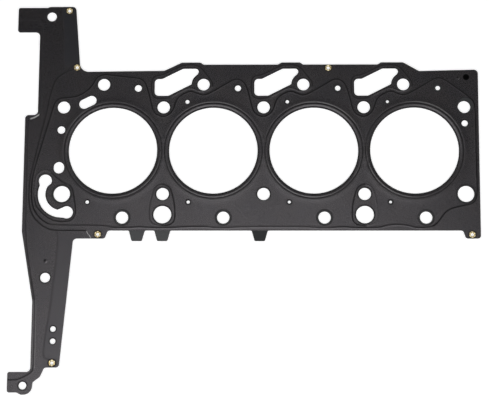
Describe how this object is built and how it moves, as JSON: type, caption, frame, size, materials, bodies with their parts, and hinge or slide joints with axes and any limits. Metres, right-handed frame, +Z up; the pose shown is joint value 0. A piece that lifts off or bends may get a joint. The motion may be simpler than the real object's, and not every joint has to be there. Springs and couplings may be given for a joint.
{
  "type": "cylinder head gasket",
  "caption": "Flat two-layer steel head gasket with embossed beads, round bores, bolt holes, fluid passages, riveted eyelets and two timing-cover arms.",
  "frame": {"origin": "axis of the first bore, the one beside the arms, at the underside of the lower layer", "axes": "+Z up out of the embossed face, +X along the row of bores away from the arms, +Y towards the slanted ports"},
  "size_m": [0.4609, 0.3913, 0.0013],
  "materials": {
    "coated_sheet": "thin black rubber coat, satin",
    "steel_sheet": "dark blue-grey coated steel",
    "brass_eyelet": "pale brass, satin"
  },
  "bodies": {
    "root": {"top_layer": "coated_sheet", "lower_layer": "steel_sheet", "eyelet_1": "brass_eyelet", "eyelet_2": "brass_eyelet", "eyelet_3": "brass_eyelet", "eyelet_4": "brass_eyelet", "eyelet_5": "brass_eyelet", "eyelet_6": "brass_eyelet"}
  },
  "joints": []
}
